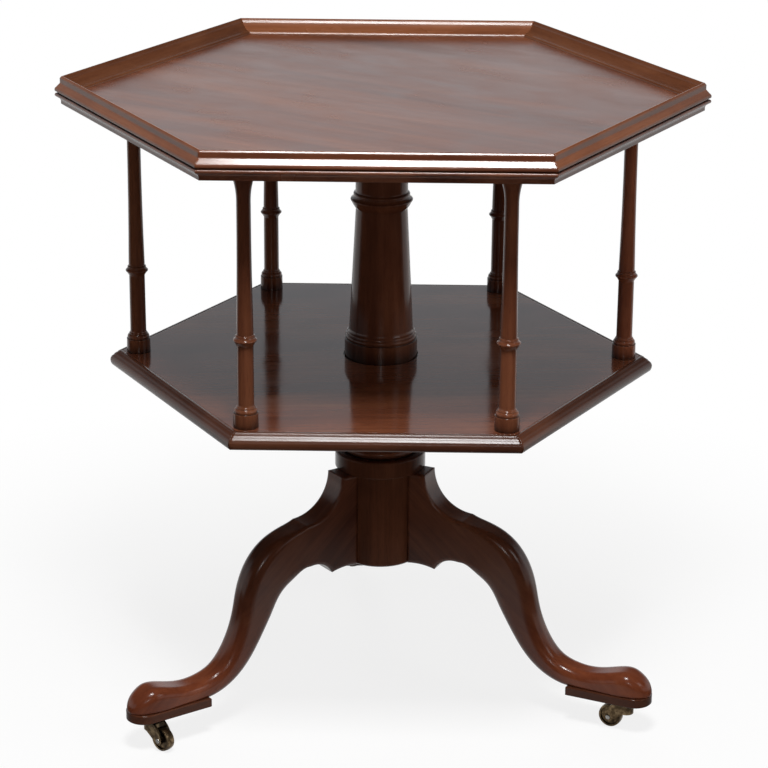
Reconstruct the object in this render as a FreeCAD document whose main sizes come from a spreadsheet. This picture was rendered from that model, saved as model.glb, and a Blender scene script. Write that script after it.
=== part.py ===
import FreeCAD, Part
import math
import os
from collections import namedtuple
from types import SimpleNamespace

import Sketcher
from FreeCAD import Placement, Rotation, Vector

# Revolving serving table: a tripod pillar on castors carries a two-tier hexagonal carousel.
# The origin is on the pillar's axis at floor level, Z points up, and the top's corners lie on X.
# Lengths are in millimetres and angles in degrees.

SIZES = {
    # levels, stacked from the floor up
    "castor_height": 37.5,
    "pad_thickness": 11.0,
    "hub_rise": 116.5,
    "leg_head_height": 115.0,
    "collar_height": 20.0,
    "shelf_rise": 100.0,
    "shelf_thickness": 17.5,
    "tier_gap": 295.5,
    "rim_thickness": 13.0,
    "rebate_depth": 4.0,
    "gallery_height": 15.0,
    # top board and gallery rails, measured from the axis square to a side
    "rim_apothem": 322.0,
    "rim_fillet_height": 3.3,
    "rim_cove_width": 4.0,
    "rim_cove_height": 4.9,
    "rim_cove_hollow": 0.9,
    "rim_bead_height": 4.6,
    "rim_bead_swell": 2.0,
    "quirk_depth": 2.8,
    "quirk_height": 1.4,
    "rail_width": 29.0,
    "nose_round": 1.2,
    "nose_height": 2.6,
    "nose_width": 1.3,
    "nose_rise": 2.2,
    "nose_swell": 0.25,
    "slope_width": 4.2,
    "slope_height": 5.0,
    "crest_width": 5.0,
    "crest_ease_width": 2.0,
    "crest_ease_height": 2.3,
    "crest_shoulder_width": 1.3,
    "crest_shoulder_height": 2.1,
    "ease_swell": 0.12,
    "shoulder_swell": 0.3,
    "inner_cove_hollow": 1.9,
    "rail_toe_width": 1.7,
    "rail_toe_height": 2.3,
    "rail_toe_step": 0.3,
    # shelf board and its edge lipping
    "shelf_apothem": 262.0,
    "lipping_width": 12.5,
    "lipping_flat": 4.5,
    "nosing_ease": 0.8,
    "nosing_step": 1.2,
    "upper_roll_width": 4.7,
    "upper_roll_drop": 4.0,
    "upper_roll_swell": 0.45,
    "lower_roll_swell": 0.6,
    "nosing_belly": 7.5,
    "nosing_tuck": 1.6,
    "tuck_swell": 0.7,
    "shelf_clearance": 1.3,
    # spindles
    "spindle_inset": 19.1,
    "tenon_radius": 6.0,
    "tenon_length": 10.0,
    "socket_gap": 0.5,
    "glue_gap": 0.05,
    "plinth_radius": 13.9,
    "plinth_taper": 0.3,
    "plinth_height": 16.1,
    "groove_radius": 12.6,
    "groove_height": 1.0,
    "foot_bead_height": 4.6,
    "foot_bead_swell": 0.9,
    "foot_fillet_radius": 10.7,
    "foot_fillet_height": 2.0,
    "foot_cove_height": 3.6,
    "fillet_swell": 0.4,
    "fillet_shoulder": 0.5,
    "cove_hollow": 0.2,
    "lower_shaft_foot": 9.3,
    "lower_shaft_head": 9.1,
    "lower_shaft_length": 65.4,
    "middle_under_height": 5.0,
    "middle_nose_root": 12.2,
    "middle_nose_height": 2.7,
    "middle_nose_swell": 0.8,
    "middle_slope_height": 2.7,
    "middle_fillet_radius": 10.6,
    "middle_fillet_height": 1.6,
    "middle_cove_height": 1.4,
    "upper_shaft_foot": 9.4,
    "upper_shaft_head": 7.75,
    "upper_shaft_hollow": 0.45,
    "capital_height": 42.0,
    "capital_radius": 14.2,
    "capital_band": 9.0,
    "capital_flare": 82.0,
    # pillar
    "column_tenon_radius": 20.0,
    "base_bead_radius": 44.5,
    "base_bead_height": 10.0,
    "base_bead_swell": 2.2,
    "base_bead_neck": 42.6,
    "stem_neck": 39.5,
    "stem_neck_rise": 42.0,
    "stem_hollow_radius": 90.0,
    "stem_swell_radius": 300.0,
    "sleeve_radius": 42.4,
    "sleeve_below": 12.0,
    "sleeve_above": 20.5,
    "sleeve_groove": 1.2,
    "sleeve_groove_depth": 1.2,
    "column_bead_height": 5.0,
    "column_bead_swell": 1.1,
    "column_fillet_radius": 40.0,
    "column_fillet_height": 3.4,
    "column_fillet_swell": 0.6,
    "column_fillet_shoulder": 1.4,
    "column_cove_height": 4.2,
    "column_cove_hollow": 0.4,
    "column_foot": 37.2,
    "column_neck": 29.85,
    "column_throat": 30.2,
    "column_ring_drop": 117.7,
    "column_under_height": 8.6,
    "column_under_swell": 0.5,
    "column_nose_root": 34.9,
    "column_nose_height": 3.0,
    "column_nose_swell": 1.0,
    "column_slope_height": 3.7,
    "column_ring_fillet": 32.3,
    "column_ring_cove": 2.3,
    "cap_height": 22.0,
    "cap_radius": 38.0,
    "cap_band": 5.0,
    "cap_flare": 24.0,
    # hub
    "hub_radius": 47.0,
    "collar_lip": 6.5,
    "collar_round": 2.5,
    "hub_chamfer": 2.0,
    # legs: each place is a step out from the one before, starting at the hub's face
    "leg_turn": 96.0,
    "leg_thickness": 34.0,
    "head_length": 17.5,
    "cusp_length": 31.6,
    "cusp_drop": 2.0,
    "scallop_depth": 2.0,
    "arris_round": 3.2,
    "tongue_depth": 14.0,
    "tongue_width": 16.0,
    "tongue_spread": 6.0,
    "tongue_stop": 8.0,
    "neck_step": 33.4,
    "neck_lift": 38.8,
    "neck_depth": 52.4,
    "neck_slope": 5.0,
    "neck_run": 4.0,
    "knee_step": 53.4,
    "knee_drop": 31.7,
    "knee_depth": 56.7,
    "knee_width": 35.2,
    "knee_round": 13.5,
    "ankle_step": 20.6,
    "ankle_drop": 48.2,
    "ankle_depth": 43.1,
    "ankle_width": 33.4,
    "ankle_round": 14.0,
    "instep_step": 29.5,
    "instep_rise": 27.0,
    "instep_depth": 31.4,
    "instep_width": 35.5,
    "instep_round": 13.5,
    "arch_step": 42.5,
    "arch_depth": 19.3,
    "arch_width": 35.4,
    "arch_round": 10.5,
    "toe_step": 60.0,
    "toe_depth": 27.0,
    "foot_width": 40.0,
    "foot_round": 12.5,
    "sole_round": 6.0,
    "sole_trim": 3.0,
    "toe_length": 32.2,
    "least_flat": 1.0,
    # foot pads, measured from the castor's stem
    "stem_step": 2.0,
    "pad_tail": 69.0,
    "pad_toe": 30.0,
    "pad_width": 42.0,
    "pad_edge": 0.8,
    "pad_screw_front": 32.0,
    "pad_screw_back": 55.0,
    "pad_screw_length": 22.0,
    # castors
    "plate_radius": 16.0,
    "plate_thickness": 2.2,
    "plate_screw_circle": 11.7,
    "plate_screw_length": 11.0,
    "pintle_radius": 4.0,
    "rivet_radius": 5.5,
    "rivet_height": 1.6,
    "swivel_gap": 0.2,
    "running_fit": 0.06,
    "crown_thickness": 3.0,
    "horn_width": 17.6,
    "horn_wall": 2.4,
    "horn_drop": 14.0,
    "horn_back": 8.0,
    "horn_shoulder": 26.0,
    "eye_radius": 5.2,
    "eye_lap_angle": 35.0,
    "trail": 19.0,
    "wheel_radius": 14.0,
    "tread_width": 9.6,
    "tread_crown": 0.6,
    "rim_depth": 2.6,
    "dish_depth": 1.8,
    "boss_radius": 4.6,
    "boss_gap": 0.3,
    "axle_radius": 2.0,
    "axle_head_radius": 3.0,
    "axle_head_height": 1.2,
    "castor_angle_rear": 20.0,
    "castor_angle_left": 103.0,
    "castor_angle_right": 177.0,
    # turning gear under the top
    "block_radius": 70.0,
    "block_thickness": 22.0,
    "block_edge": 6.0,
    "block_recess_radius": 18.0,
    "block_recess_depth": 9.0,
    "block_screw_circle": 50.0,
    "block_screw_length": 32.0,
    "bush_radius": 12.0,
    "bush_flange_radius": 20.0,
    "bush_flange": 2.0,
    "thrust_gap": 0.1,
    "washer_thickness": 2.0,
    "pivot_flange_radius": 30.0,
    "pivot_flange": 4.0,
    "pivot_radius": 8.0,
    "pivot_root": 50.0,
    "pivot_thread_radius": 6.0,
    "pivot_screw_circle": 24.5,
    "pivot_screw_length": 26.0,
    "retainer_radius": 15.0,
    "retainer_thickness": 2.0,
    "nut_apothem": 9.0,
    "nut_height": 6.0,
    "pin_end_gap": 0.6,
    # wood screws, one pattern for each thickness
    "screw_radius": 2.1,
    "screw_head_radius": 4.2,
    "screw_head_height": 2.4,
    "small_screw_radius": 1.5,
    "small_head_radius": 2.7,
    "small_head_height": 1.4,
}

SIDES = 6
LEG_NAMES = ("rear", "left", "right")
LEGS = {name: 360 / len(LEG_NAMES) * place for place, name in enumerate(LEG_NAMES)}
SIDE_TURN = 360 / SIDES
SIDE_TAN = math.tan(math.pi / SIDES)
SIDE_COS = math.cos(math.pi / SIDES)
OUT = 1
HOLLOW = -1
UP = 1
DOWN = -1
TOE_STEPS = (0, 30, 52, 70, 82)

doc = FreeCAD.newDocument("revolving_serving_table")
sheet = doc.addObject("Spreadsheet::Sheet", "Sizes")
for row, (alias, number) in enumerate(SIZES.items(), 1):
    sheet.set(f"A{row}", alias)
    sheet.set(f"B{row}", str(number))
    sheet.setAlias(f"B{row}", alias)
doc.recompute()


class Size:
    """A length, angle or ratio: its number, and the sheet expression that gives it."""

    def __init__(self, number, text):
        self.number = number
        self.text = text

    def __add__(self, other):
        other = as_size(other)
        return Size(self.number + other.number, f"({self.text} + {other.text})")

    def __radd__(self, other):
        return as_size(other) + self

    def __sub__(self, other):
        other = as_size(other)
        return Size(self.number - other.number, f"({self.text} - {other.text})")

    def __rsub__(self, other):
        return as_size(other) - self

    def __mul__(self, other):
        other = as_size(other)
        return Size(self.number * other.number, f"({self.text} * {other.text})")

    def __rmul__(self, other):
        return as_size(other) * self

    def __truediv__(self, other):
        other = as_size(other)
        return Size(self.number / other.number, f"({self.text} / {other.text})")

    def __neg__(self):
        return 0.0 - self


def as_size(value):
    return value if isinstance(value, Size) else Size(float(value), f"({float(value)!r})")


def cosine(angle):
    return Size(math.cos(math.radians(angle.number)), f"cos({angle.text} * 1 deg)")


def sine(angle):
    return Size(math.sin(math.radians(angle.number)), f"sin({angle.text} * 1 deg)")


s = SimpleNamespace(**{alias: Size(float(sheet.get(alias)), f"Sizes.{alias}") for alias in SIZES})

# levels
sole = s.castor_height + s.pad_thickness
hub_bottom = sole + s.hub_rise
leg_top = hub_bottom + s.leg_head_height
collar_top = leg_top + s.collar_height
shelf_bottom = collar_top + s.shelf_rise
shelf_top = shelf_bottom + s.shelf_thickness
board_bottom = shelf_top + s.tier_gap
rim_top = board_bottom + s.rim_thickness
field = rim_top + s.rebate_depth
crest = field + s.gallery_height

# levels of the turning gear, downwards from the top board
block_bottom = board_bottom - s.block_thickness
recess_floor = board_bottom - s.block_recess_depth
bush_bottom = block_bottom - s.bush_flange
washer_top = bush_bottom - s.thrust_gap
pivot_top = washer_top - s.washer_thickness
column_top = pivot_top - s.pivot_flange
retainer_bottom = recess_floor + s.swivel_gap
nut_bottom = retainer_bottom + s.retainer_thickness
pin_top = board_bottom - s.pin_end_gap

# levels of a castor
plate_bottom = s.castor_height - s.plate_thickness
crown_top = plate_bottom - s.swivel_gap
crown_bottom = crown_top - s.crown_thickness
rivet_top = crown_bottom - s.swivel_gap

# distances from the axis, square to a side
rail_inner = s.rim_apothem - s.rail_width
lipping_outer = s.shelf_apothem + s.lipping_width
spindle_circle = s.shelf_apothem / SIDE_COS - s.spindle_inset

# places along a leg, outwards from the axis, and their levels
head_reach = s.hub_radius + s.head_length
cusp_reach = s.hub_radius + s.cusp_length
neck_reach = cusp_reach + s.neck_step
knee_reach = neck_reach + s.knee_step
ankle_reach = knee_reach + s.ankle_step
instep_reach = ankle_reach + s.instep_step
arch_reach = instep_reach + s.arch_step
toe_reach = arch_reach + s.toe_step
toe_tip = toe_reach + s.toe_length
stem_reach = toe_reach + s.stem_step
neck_level = hub_bottom + s.neck_lift
knee_level = neck_level - s.knee_drop
ankle_level = knee_level - s.ankle_drop
instep_level = sole + s.instep_rise
collar_radius = s.hub_radius + s.collar_lip

Corner = namedtuple("Corner", "x y radius swell turn")
Screw = namedtuple("Screw", "radius head_radius head_height")
Girth = namedtuple("Girth", "depth width top_round low_round")
WOOD_SCREW = Screw(s.screw_radius, s.screw_head_radius, s.screw_head_height)
SMALL_SCREW = Screw(s.small_screw_radius, s.small_head_radius, s.small_head_height)


def line(x, y):
    """A corner that is reached in a straight line."""
    return Corner(as_size(x), as_size(y), None, None, 0)


def arc(x, y, radius, turn):
    """A corner that is reached by an arc, which stands out from the outline or hollows it."""
    return Corner(as_size(x), as_size(y), as_size(radius), None, turn)


def bow(x, y, swell, turn):
    """A corner that is reached by an arc, which leaves the straight line by swell at its middle."""
    return Corner(as_size(x), as_size(y), None, as_size(swell), turn)


def arc_radius(before, corner):
    """Radius of the arc that reaches a corner from the one before it."""
    if corner.swell is None:
        return corner.radius
    across = corner.x - before.x
    rise = corner.y - before.y
    return (across * across + rise * rise) / (corner.swell * 8) + corner.swell / 2


def arc_between(start, end, radius, turn):
    chord = end - start
    lift = math.sqrt(radius**2 - (chord.Length / 2) ** 2)
    left = Vector(-chord.y, chord.x, 0).normalize()
    centre = (start + end) * 0.5 + left * (lift * turn)
    ends = (start, end) if turn == OUT else (end, start)
    angles = [math.atan2(point.y - centre.y, point.x - centre.x) for point in ends]
    return Part.ArcOfCircle(Part.Circle(centre, Vector(0, 0, 1), radius), *angles)


def bind(sketch, size, *constraint):
    index = sketch.addConstraint(Sketcher.Constraint(*constraint, size.number))
    sketch.setExpression(f"Constraints[{index}]", size.text)


def hold(sketch, edge, point, x, y):
    """Hold a point of an edge at its place in the sketch."""
    for size, kind, axis in ((x, "DistanceX", -2), (y, "DistanceY", -1)):
        if size.number == 0:
            sketch.addConstraint(Sketcher.Constraint("PointOnObject", edge, point, axis))
        else:
            bind(sketch, size, kind, edge, point)


def outline(sketch, corners):
    """Draw a closed outline, anticlockwise; the first corner is reached from the last."""
    edges = []
    for before, corner in zip(corners[-1:] + corners[:-1], corners):
        start = Vector(before.x.number, before.y.number, 0)
        end = Vector(corner.x.number, corner.y.number, 0)
        if corner.turn == 0:
            edge = sketch.addGeometry(Part.LineSegment(start, end))
        else:
            radius = arc_radius(before, corner)
            edge = sketch.addGeometry(arc_between(start, end, radius.number, corner.turn))
            bind(sketch, radius, "Radius", edge)
        first, last = (2, 1) if corner.turn == HOLLOW else (1, 2)
        edges.append((edge, first, last))
    for (edge, _, last), (following, first, _) in zip(edges, edges[1:] + edges[:1]):
        sketch.addConstraint(Sketcher.Constraint("Coincident", edge, last, following, first))
    for corner, (edge, _, last) in zip(corners, edges):
        hold(sketch, edge, last, corner.x, corner.y)


def circle(sketch, x, y, radius):
    centre = Vector(x.number, y.number, 0)
    edge = sketch.addGeometry(Part.Circle(centre, Vector(0, 0, 1), radius.number))
    bind(sketch, radius, "Radius", edge)
    hold(sketch, edge, 3, x, y)


def hexagon(sketch, apothem):
    corner = apothem / SIDE_COS
    turns = [math.radians(SIDE_TURN * k) for k in range(SIDES)]
    outline(
        sketch,
        [line(corner * round(math.cos(a), 9), corner * round(math.sin(a), 9)) for a in turns],
    )


def new_body(label):
    body = doc.addObject("PartDesign::Body", label)
    body.Label = label
    return body


def new_sketch(body, role, lift=None):
    """A sketch on one of the body's own planes, lifted along the plane's normal."""
    sketch = body.newObject("Sketcher::SketchObject", f"{body.Name}_sketch")
    plane = next(item for item in body.Origin.OriginFeatures if item.Role == role)
    sketch.AttachmentSupport = [(plane, "")]
    sketch.MapMode = "FlatFace"
    if lift is not None:
        sketch.setExpression("AttachmentOffset.Base.z", lift.text)
    return sketch


def pad(body, sketch, length, symmetric=False):
    feature = body.newObject("PartDesign::Pad", f"{body.Name}_pad")
    feature.Profile = sketch
    feature.SideType = "Symmetric" if symmetric else "One side"
    feature.setExpression("Length", length.text)
    return feature


def pocket(body, sketch, depth=None, direction=DOWN):
    """A pocket, right through where no depth is given; it cuts against the sketch's normal or along it."""
    feature = body.newObject("PartDesign::Pocket", f"{body.Name}_pocket")
    feature.Profile = sketch
    feature.Reversed = direction == UP
    if depth is None:
        feature.Type = "ThroughAll"
    else:
        feature.setExpression("Length", depth.text)
    return feature


def pocket_both_ways(body, sketch):
    feature = pocket(body, sketch)
    feature.SideType = "Symmetric"
    return feature


def around(body, feature, sketch, count, axis="N_Axis"):
    """Repeat a feature evenly about the body's upright axis."""
    pattern = body.newObject("PartDesign::PolarPattern", f"{body.Name}_pattern")
    pattern.Originals = [feature]
    pattern.Axis = (sketch, [axis])
    pattern.Angle = 360
    pattern.Occurrences = count
    body.Tip = pattern


def revolve(body, sketch, axis="V_Axis", kind="Revolution"):
    feature = body.newObject(f"PartDesign::{kind}", f"{body.Name}_turned")
    feature.Profile = sketch
    feature.ReferenceAxis = (sketch, [axis])
    feature.Angle = 360
    return feature


def turned(label, corners, role="XZ_Plane"):
    """A piece turned about the upright axis of its sketch."""
    body = new_body(label)
    sketch = new_sketch(body, role)
    outline(sketch, corners)
    revolve(body, sketch)
    return body


def place(body, angle, x=None, y=None):
    """Turn a body about Z, then move it to x, y."""
    body.Placement = Placement(Vector(0, 0, 0), Rotation(Vector(0, 0, 1), as_size(angle).number))
    body.setExpression("Placement.Rotation.Angle", as_size(angle).text)
    if x is not None:
        body.setExpression("Placement.Base.x", x.text)
        body.setExpression("Placement.Base.y", y.text)


def screw_sketch(body, screw, reach, start, length, direction, gap):
    """Half a countersunk screw beside its own axis, at a distance from the body's axis."""
    sketch = new_sketch(body, "XZ_Plane")
    tip = start + (length + gap) * direction
    head_end = start + screw.head_height * direction
    outline(
        sketch,
        [
            line(reach, start),
            line(reach + screw.head_radius + gap, start),
            line(reach + screw.radius + gap, head_end),
            line(reach + screw.radius + gap, tip),
            line(reach, tip),
        ],
    )
    ends = [Vector(reach.number, level.number, 0) for level in (start, tip)]
    axis = sketch.addGeometry(Part.LineSegment(*ends), True)
    hold(sketch, axis, 1, reach, start)
    hold(sketch, axis, 2, reach, tip)
    return sketch


def drill(body, screw, reach, start, length, count, direction=UP):
    """Countersunk holes for a ring of screws."""
    sketch = screw_sketch(body, screw, reach, start, length, direction, s.glue_gap)
    hole = revolve(body, sketch, "Axis0", "Groove")
    if count > 1:
        around(body, hole, sketch, count, "V_Axis")


def screws(label, screw, rings, length, start, direction=UP):
    """Loose screws in rings; each ring is a distance from the axis and a count."""
    body = new_body(label)
    for reach, count in rings:
        sketch = screw_sketch(body, screw, reach, start, length, direction, as_size(0))
        shank = revolve(body, sketch, "Axis0")
        if count > 1:
            around(body, shank, sketch, count, "V_Axis")
    return body


def mitred(label, corners, inner, outer, turn):
    """A moulding along one side of the hexagon, cut at both ends on the corners' radii."""
    body = new_body(label)
    profile = new_sketch(body, "XZ_Plane")
    outline(profile, corners)
    pad(body, profile, outer * 2, symmetric=True)
    ends = new_sketch(body, "XY_Plane")
    near = inner - (outer - inner)
    far = outer + (outer - inner)
    for side in (1, -1):
        outline(
            ends,
            [
                line(near, near * SIDE_TAN * side),
                line(far, far * SIDE_TAN * side),
                line(far, far * side),
                line(near, far * side),
            ],
        )
    pocket(body, ends, direction=UP)
    place(body, turn)
    return body


def level_edges(slab):
    """Names of the edges round a slab's top and bottom faces."""
    flat = s.glue_gap.number
    edges = enumerate(slab.Shape.Edges, 1)
    return [f"Edge{index}" for index, edge in edges if edge.BoundBox.ZLength < flat]


def top_board():
    body = new_body("top_board")
    sketch = new_sketch(body, "XY_Plane", board_bottom)
    hexagon(sketch, s.rim_apothem)
    pad(body, sketch, s.rim_thickness)
    edge = new_sketch(body, "YZ_Plane")
    outline(edge, rim_waste())
    around(body, pocket_both_ways(body, edge), edge, SIDES, "V_Axis")
    raised = new_sketch(body, "XY_Plane", rim_top)
    hexagon(raised, rail_inner)
    pad(body, raised, s.rebate_depth)
    sockets(body, board_bottom, UP)
    drill(body, WOOD_SCREW, s.block_screw_circle, block_bottom, s.block_screw_length, 4)


def rim_waste():
    """What is cut off along a side of the board: it leaves a quirk, a bead, a cove and a fillet."""
    cove_bottom = board_bottom + s.rim_fillet_height
    cove_top = cove_bottom + s.rim_cove_height
    bead_top = cove_top + s.rim_bead_height
    bead_root = s.rim_apothem - s.rim_bead_swell
    foot = bead_root - s.rim_cove_width
    clear = s.rim_apothem + s.rim_thickness
    return [
        line(foot, board_bottom - s.rim_thickness),
        line(clear, board_bottom - s.rim_thickness),
        line(clear, rim_top + s.rim_thickness),
        line(s.rim_apothem - s.quirk_depth, rim_top + s.rim_thickness),
        line(s.rim_apothem - s.quirk_depth, bead_top),
        line(bead_root, bead_top),
        bow(bead_root, cove_top, s.rim_bead_swell, HOLLOW),
        bow(foot, cove_bottom, s.rim_cove_hollow, OUT),
    ]


def sockets(body, level, direction):
    """Blind holes for the six spindle tenons."""
    sketch = new_sketch(body, "XY_Plane", level)
    circle(sketch, spindle_circle, as_size(0), s.tenon_radius + s.glue_gap)
    hole = pocket(body, sketch, s.tenon_length + s.socket_gap, direction)
    around(body, hole, sketch, SIDES)


def gallery_rails():
    nose_bottom = rim_top + s.quirk_height
    nose_top = nose_bottom + s.nose_height
    slope_foot = s.rim_apothem - s.nose_width
    slope_bottom = nose_top + s.nose_rise
    crest_outer = slope_foot - s.slope_width
    crest_inner = crest_outer - s.crest_width
    ease_bottom = crest - s.crest_ease_height
    toe_bottom = field + s.rail_toe_step
    corners = [
        line(rail_inner, rim_top),
        line(s.rim_apothem - s.quirk_depth, rim_top),
        line(s.rim_apothem - s.quirk_depth, nose_bottom),
        line(s.rim_apothem - s.nose_round, nose_bottom),
        arc(s.rim_apothem, nose_bottom + s.nose_round, s.nose_round, OUT),
        line(s.rim_apothem, nose_top),
        bow(slope_foot, slope_bottom, s.nose_swell, OUT),
        line(crest_outer, slope_bottom + s.slope_height),
        line(crest_outer, ease_bottom),
        bow(crest_outer - s.crest_ease_width, crest, s.ease_swell, OUT),
        line(crest_inner + s.crest_ease_width, crest),
        bow(
            crest_inner - s.crest_shoulder_width,
            ease_bottom - s.crest_shoulder_height,
            s.shoulder_swell,
            OUT,
        ),
        bow(
            rail_inner + s.rail_toe_width,
            toe_bottom + s.rail_toe_height,
            s.inner_cove_hollow,
            HOLLOW,
        ),
        bow(rail_inner, toe_bottom, s.ease_swell, OUT),
    ]
    for k in range(SIDES):
        mitred(f"gallery_rail_{k + 1}", corners, rail_inner, s.rim_apothem, SIDE_TURN * (k + 0.5))


def spindles():
    plinth_top = shelf_top + s.plinth_height
    bead_bottom = plinth_top + s.groove_height
    bead_top = bead_bottom + s.foot_bead_height
    fillet_top = bead_top + s.foot_fillet_height
    shaft_bottom = fillet_top + s.foot_cove_height
    ring_bottom = shaft_bottom + s.lower_shaft_length
    nose_bottom = ring_bottom + s.middle_under_height
    nose_top = nose_bottom + s.middle_nose_height
    slope_top = nose_top + s.middle_slope_height
    ring_fillet_top = slope_top + s.middle_fillet_height
    ring_top = ring_fillet_top + s.middle_cove_height
    capital_bottom = board_bottom - s.capital_height
    band_bottom = board_bottom - s.capital_band
    corners = [
        line(0, shelf_top - s.tenon_length),
        line(s.tenon_radius, shelf_top - s.tenon_length),
        line(s.tenon_radius, shelf_top),
        line(s.plinth_radius, shelf_top),
        line(s.plinth_radius - s.plinth_taper, plinth_top),
        line(s.groove_radius, plinth_top),
        line(s.groove_radius, bead_bottom),
        bow(s.foot_fillet_radius, bead_top, s.foot_bead_swell, OUT),
        bow(s.lower_shaft_foot + s.fillet_shoulder, fillet_top, s.fillet_swell, OUT),
        bow(s.lower_shaft_foot, shaft_bottom, s.cove_hollow, HOLLOW),
        line(s.lower_shaft_head, ring_bottom),
        bow(s.middle_nose_root, nose_bottom, s.cove_hollow, HOLLOW),
        bow(s.middle_nose_root, nose_top, s.middle_nose_swell, OUT),
        bow(s.middle_fillet_radius, slope_top, s.cove_hollow, HOLLOW),
        bow(s.upper_shaft_foot + s.fillet_shoulder, ring_fillet_top, s.fillet_swell, OUT),
        bow(s.upper_shaft_foot, ring_top, s.cove_hollow, HOLLOW),
        bow(s.upper_shaft_head, capital_bottom, s.upper_shaft_hollow, HOLLOW),
        arc(s.capital_radius, band_bottom, s.capital_flare, HOLLOW),
        line(s.capital_radius, board_bottom),
        line(s.tenon_radius, board_bottom),
        line(s.tenon_radius, board_bottom + s.tenon_length),
        line(0, board_bottom + s.tenon_length),
    ]
    for k in range(SIDES):
        body = turned(f"spindle_{k + 1}", corners)
        turn = as_size(SIDE_TURN * k)
        place(body, turn, spindle_circle * cosine(turn), spindle_circle * sine(turn))


def shelf_board():
    body = new_body("shelf_board")
    sketch = new_sketch(body, "XY_Plane", shelf_bottom)
    hexagon(sketch, s.shelf_apothem)
    pad(body, sketch, s.shelf_thickness)
    opening = new_sketch(body, "XY_Plane", shelf_top)
    circle(opening, as_size(0), as_size(0), s.sleeve_radius + s.shelf_clearance)
    pocket(body, opening)
    sockets(body, shelf_top, DOWN)


def shelf_lippings():
    nosing_start = s.shelf_apothem + s.lipping_flat
    roll_top = shelf_top - s.nosing_step
    corners = [
        line(s.shelf_apothem, shelf_bottom),
        line(lipping_outer - s.nosing_tuck, shelf_bottom),
        bow(lipping_outer, shelf_bottom + s.nosing_belly, s.tuck_swell, OUT),
        bow(
            nosing_start + s.upper_roll_width,
            roll_top - s.upper_roll_drop,
            s.lower_roll_swell,
            OUT,
        ),
        bow(nosing_start, roll_top, s.upper_roll_swell, OUT),
        line(nosing_start, shelf_top - s.nosing_ease),
        bow(nosing_start - s.nosing_ease, shelf_top, s.ease_swell, OUT),
        line(s.shelf_apothem, shelf_top),
    ]
    for k in range(SIDES):
        mitred(f"shelf_lipping_{k + 1}", corners, s.shelf_apothem, lipping_outer, SIDE_TURN * (k + 0.5))


def bearing_block():
    bore = s.bush_radius + s.glue_gap
    body = turned(
        "bearing_block",
        [
            line(bore, block_bottom),
            line(s.block_radius - s.block_edge, block_bottom),
            arc(s.block_radius, block_bottom + s.block_edge, s.block_edge, OUT),
            line(s.block_radius, board_bottom),
            line(s.block_recess_radius, board_bottom),
            line(s.block_recess_radius, recess_floor),
            line(bore, recess_floor),
        ],
    )
    drill(body, WOOD_SCREW, s.block_screw_circle, block_bottom, s.block_screw_length, 4)
    screws(
        "block_screws", WOOD_SCREW, [(s.block_screw_circle, 4)], s.block_screw_length, block_bottom
    )


def pivot_gear():
    """The bush in the block, and the pivot pin with its washers and nut."""
    turned(
        "pivot_bush",
        [
            line(s.pivot_radius + s.running_fit, bush_bottom),
            line(s.bush_flange_radius, bush_bottom),
            line(s.bush_flange_radius, block_bottom),
            line(s.bush_radius, block_bottom),
            line(s.bush_radius, recess_floor),
            line(s.pivot_radius + s.running_fit, recess_floor),
        ],
    )
    ring("thrust_washer", s.pivot_radius + s.running_fit, s.bush_flange_radius, pivot_top, washer_top)
    body = turned(
        "pivot_plate",
        [
            line(0, column_top - s.pivot_root),
            line(s.pivot_radius, column_top - s.pivot_root),
            line(s.pivot_radius, column_top),
            line(s.pivot_flange_radius, column_top),
            line(s.pivot_flange_radius, pivot_top),
            line(s.pivot_radius, pivot_top),
            line(s.pivot_radius, retainer_bottom),
            line(s.pivot_thread_radius, retainer_bottom),
            line(s.pivot_thread_radius, pin_top),
            line(0, pin_top),
        ],
    )
    drill(body, WOOD_SCREW, s.pivot_screw_circle, pivot_top, s.pivot_screw_length, 3, DOWN)
    screws(
        "pivot_screws",
        WOOD_SCREW,
        [(s.pivot_screw_circle, 3)],
        s.pivot_screw_length,
        pivot_top,
        DOWN,
    )
    thread_bore = s.pivot_thread_radius + s.glue_gap
    ring("retaining_washer", thread_bore, s.retainer_radius, retainer_bottom, nut_bottom)
    nut = new_body("retaining_nut")
    sketch = new_sketch(nut, "XY_Plane", nut_bottom)
    hexagon(sketch, s.nut_apothem)
    circle(sketch, as_size(0), as_size(0), thread_bore)
    pad(nut, sketch, s.nut_height)


def ring(label, inner, outer, bottom, top):
    return turned(
        label, [line(inner, bottom), line(outer, bottom), line(outer, top), line(inner, top)]
    )


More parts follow.
